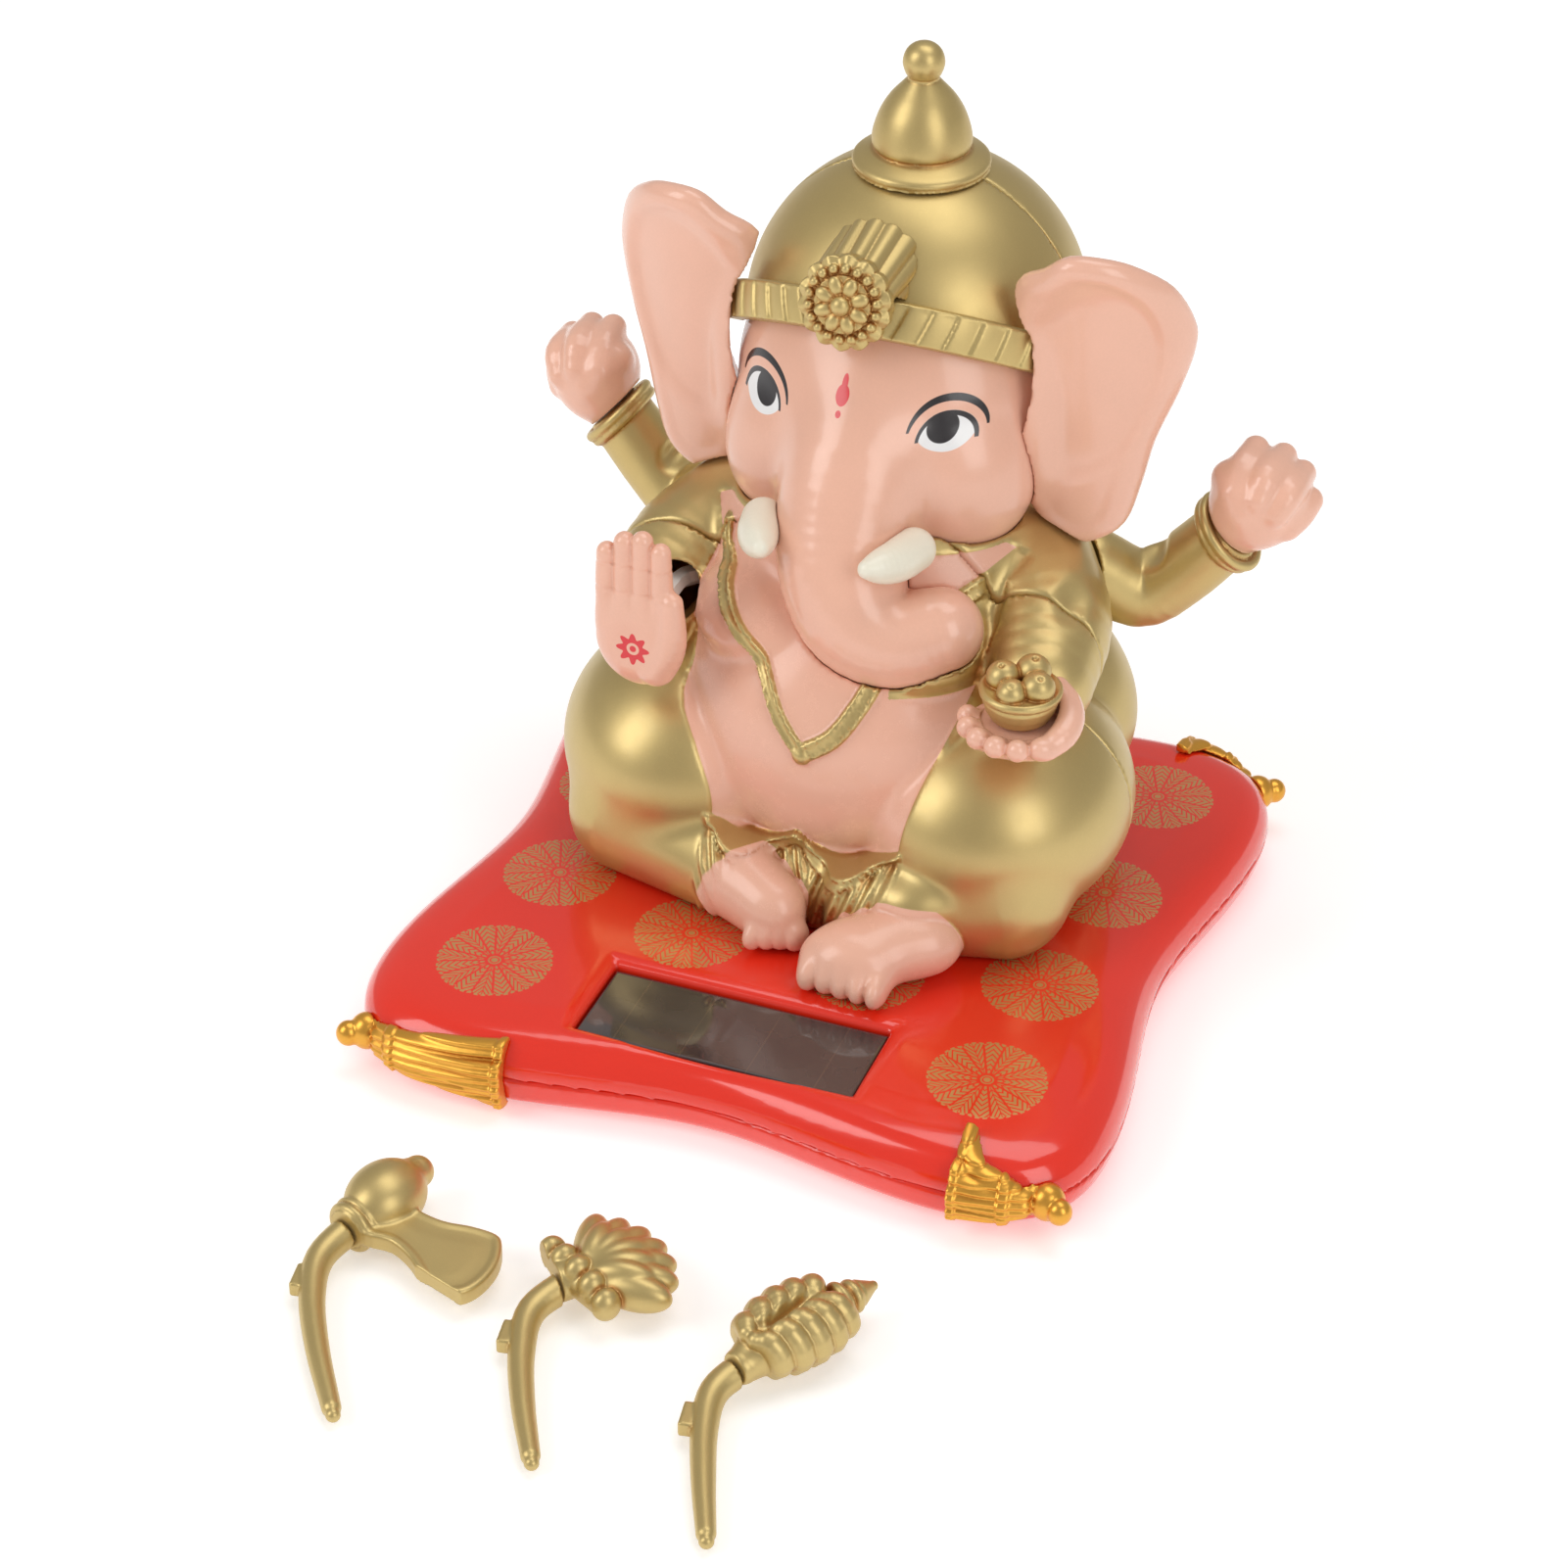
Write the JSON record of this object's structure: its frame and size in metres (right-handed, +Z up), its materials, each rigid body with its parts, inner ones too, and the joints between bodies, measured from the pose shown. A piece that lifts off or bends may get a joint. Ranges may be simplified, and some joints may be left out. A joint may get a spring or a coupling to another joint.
{
  "type": "ganesha idol",
  "caption": "Seated elephant-headed devotional figure on a cushion-shaped base with a light-powered swinging palm, plus loose plug-in hand attributes.",
  "frame": {"origin": "middle of the base's flat underside, on the surface that the figure stands on", "axes": "+Z up, -Y the way the figure faces, +X the figure's left"},
  "size_m": [0.1198, 0.1806, 0.1302],
  "materials": {
    "red_base": "gloss",
    "window": "polished",
    "cell": "gloss",
    "tassel": "satin",
    "board": "satin",
    "chip": "matte",
    "metal": "satin",
    "white_plastic": "satin",
    "copper_wire": "gloss",
    "black_lead": "satin",
    "red_lead": "satin",
    "body_paint": "satin",
    "skin": "gloss",
    "gold": "satin",
    "ivory": "satin"
  },
  "bodies": {
    "figure": {"base_bottom_cover": "red_base", "base_top_shell": "red_base", "solar_window": "window", "solar_cell": "cell", "corner_tassel_left_front": "tassel", "corner_tassel_left_rear": "tassel", "corner_tassel_right_front": "tassel", "corner_tassel_right_rear": "tassel", "circuit_board": "board", "control_chip": "chip", "storage_capacitor": "metal", "coil_bobbin": "white_plastic", "swing_bracket": "white_plastic", "coil_winding": "copper_wire", "coil_lead": "black_lead", "cell_lead": "red_lead", "base_screw_left_front": "metal", "base_screw_left_rear": "metal", "base_screw_right_front": "metal", "base_screw_right_rear": "metal", "body_screw_left": "metal", "body_screw_right": "metal", "swing_axle": "metal", "body_front_shell": "body_paint", "body_rear_shell": "body_paint", "head_front_shell": "skin", "head_rear_shell": "skin", "left_ear": "skin", "right_ear": "skin", "left_upper_fist": "skin", "right_upper_fist": "skin", "left_hand": "skin", "crown_front_shell": "gold", "crown_rear_shell": "gold", "crown_band": "gold", "crown_finial": "gold", "crown_rosette": "gold", "left_upper_sleeve": "gold", "right_upper_sleeve": "gold", "sweet_bowl": "gold", "left_tusk": "ivory", "right_tusk": "ivory"},
    "swing": {"blessing_hand": "skin", "swing_lever": "white_plastic", "swing_magnet": "metal", "balance_weight": "metal"},
    "axe": {"axe_stem": "gold", "axe_head": "gold"},
    "lotus": {"lotus_stem": "gold", "lotus_bud": "gold"},
    "conch": {"conch_stem": "gold", "conch_shell": "gold"}
  },
  "joints": [
    {"name": "palm_swing", "type": "hinge", "parent": "figure", "child": "swing", "pos_m": [-0.013, 0.012, 0.046], "axis": [1, 0, 0], "range_deg": [-10, 10]},
    {"name": "axe_lift", "type": "slide", "parent": "figure", "child": "axe", "axis": [0, 0, 1], "range_m": [0, 0.05]},
    {"name": "lotus_lift", "type": "slide", "parent": "figure", "child": "lotus", "axis": [0, 0, 1], "range_m": [0, 0.05]},
    {"name": "conch_lift", "type": "slide", "parent": "figure", "child": "conch", "axis": [0, 0, 1], "range_m": [0, 0.05]}
  ]
}
